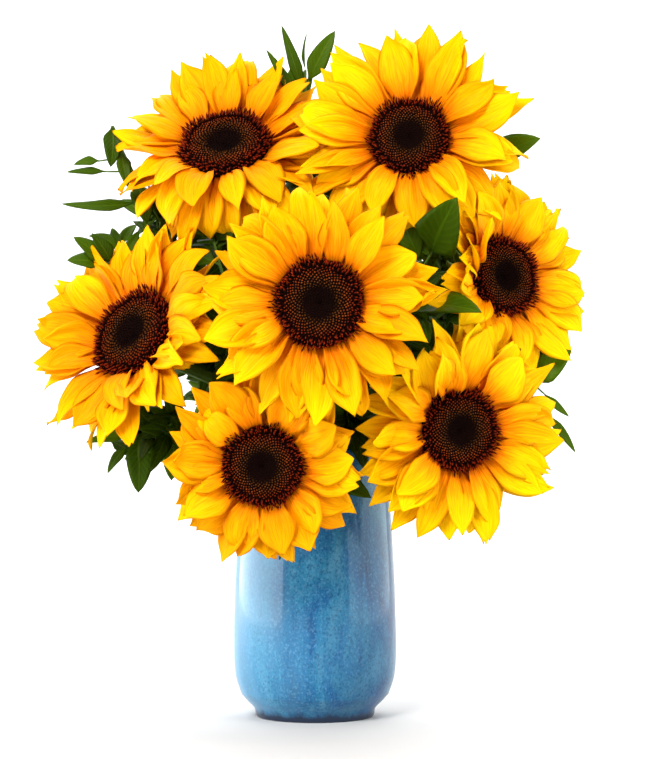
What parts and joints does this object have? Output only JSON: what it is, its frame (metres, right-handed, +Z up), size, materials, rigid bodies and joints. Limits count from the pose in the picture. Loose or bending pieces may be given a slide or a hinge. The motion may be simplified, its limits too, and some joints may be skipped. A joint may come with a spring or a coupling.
{
  "type": "sunflower bouquet in a vase",
  "caption": "Cut sunflowers with mixed green foliage, standing as a loose bunch in a glazed stoneware vase.",
  "frame": {"origin": "centre of the vase's flat underside, which is what it stands on", "axes": "+Z up along the vase's axis, -Y towards the front that the blooms face, +X to the right seen from the front"},
  "size_m": [0.3478, 0.2566, 0.4316],
  "materials": {
    "glaze": "gloss",
    "ray": "matte",
    "seed": "matte",
    "stalk": "satin",
    "leaf": "satin"
  },
  "bodies": {
    "root": {"vase": "glaze", "centre_disc": "seed", "centre_calyx": "stalk", "centre_stem": "stalk", "centre_rays": "ray", "upper_right_disc": "seed", "upper_right_calyx": "stalk", "upper_right_stem": "stalk", "upper_right_rays": "ray", "upper_left_disc": "seed", "upper_left_calyx": "stalk", "upper_left_stem": "stalk", "upper_left_rays": "ray", "left_disc": "seed", "left_calyx": "stalk", "left_stem": "stalk", "left_rays": "ray", "right_disc": "seed", "right_calyx": "stalk", "right_stem": "stalk", "right_rays": "ray", "lower_right_disc": "seed", "lower_right_calyx": "stalk", "lower_right_stem": "stalk", "lower_right_rays": "ray", "lower_left_disc": "seed", "lower_left_calyx": "stalk", "lower_left_stem": "stalk", "lower_left_rays": "ray", "sprig_top": "leaf", "sprig_right_high": "leaf", "sprig_left_high": "leaf", "sprig_left_mid": "leaf", "sprig_centre_left": "leaf", "sprig_centre_right": "leaf", "sprig_right_low": "leaf", "sprig_left_low": "leaf", "sprig_front": "leaf", "sprig_front_low": "leaf", "sprig_back_1": "leaf", "sprig_back_2": "leaf", "sprig_back_3": "leaf", "sprig_back_4": "leaf", "sprig_back_5": "leaf", "sprig_back_6": "leaf", "sprig_back_7": "leaf", "sprig_back_8": "leaf", "sprig_right_back": "leaf"}
  },
  "joints": []
}
